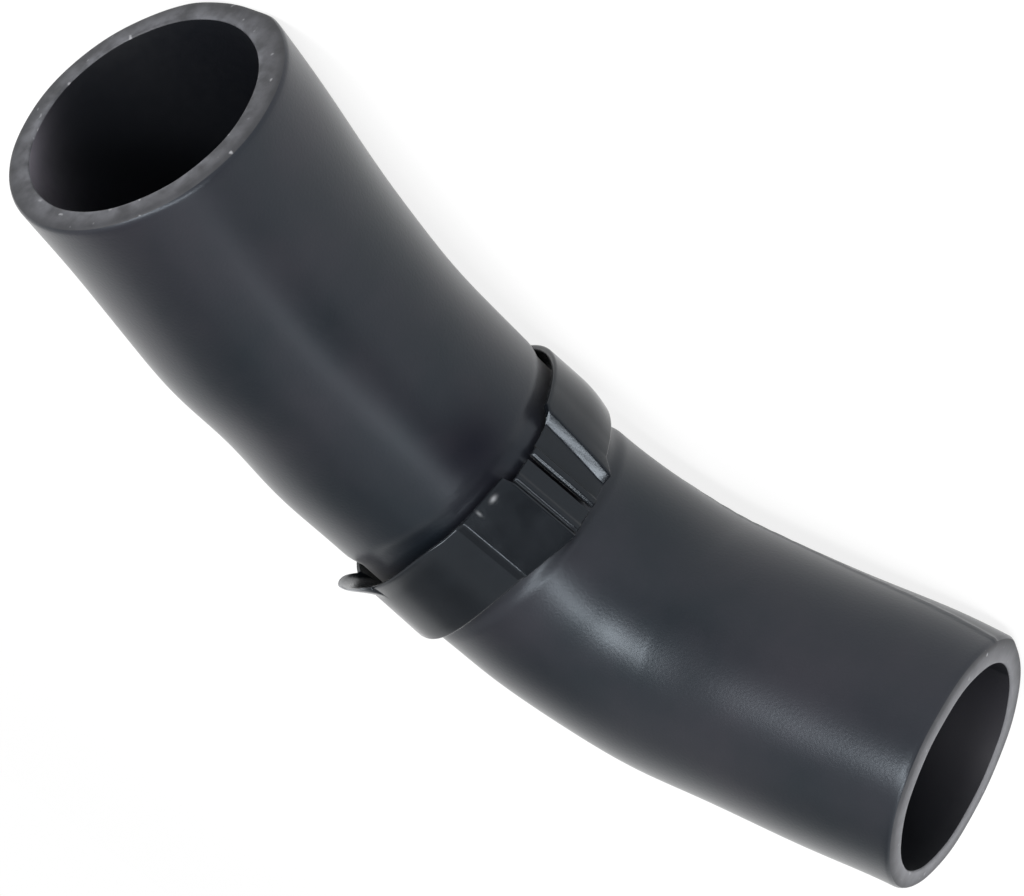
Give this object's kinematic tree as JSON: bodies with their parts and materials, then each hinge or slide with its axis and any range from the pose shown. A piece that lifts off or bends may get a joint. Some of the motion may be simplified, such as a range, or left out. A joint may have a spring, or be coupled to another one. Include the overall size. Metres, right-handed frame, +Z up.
{
  "type": "heater hose",
  "caption": "Moulded rubber heater hose with bends in one plane and a split plastic band clip round its middle.",
  "frame": {"origin": "under the middle of the part's bounding box, on the surface that it lies on", "axes": "+Z up as the hose lies on its side; end A opens towards -X, end B opens towards +Y"},
  "size_m": [0.1506, 0.1466, 0.0571],
  "materials": {
    "hose_rubber": "satin moulded rubber, dark blue-grey",
    "clip_plastic": "moulded polyamide, near black"
  },
  "bodies": {
    "root": {"hose": "hose_rubber", "band_clip": "clip_plastic"}
  },
  "joints": []
}
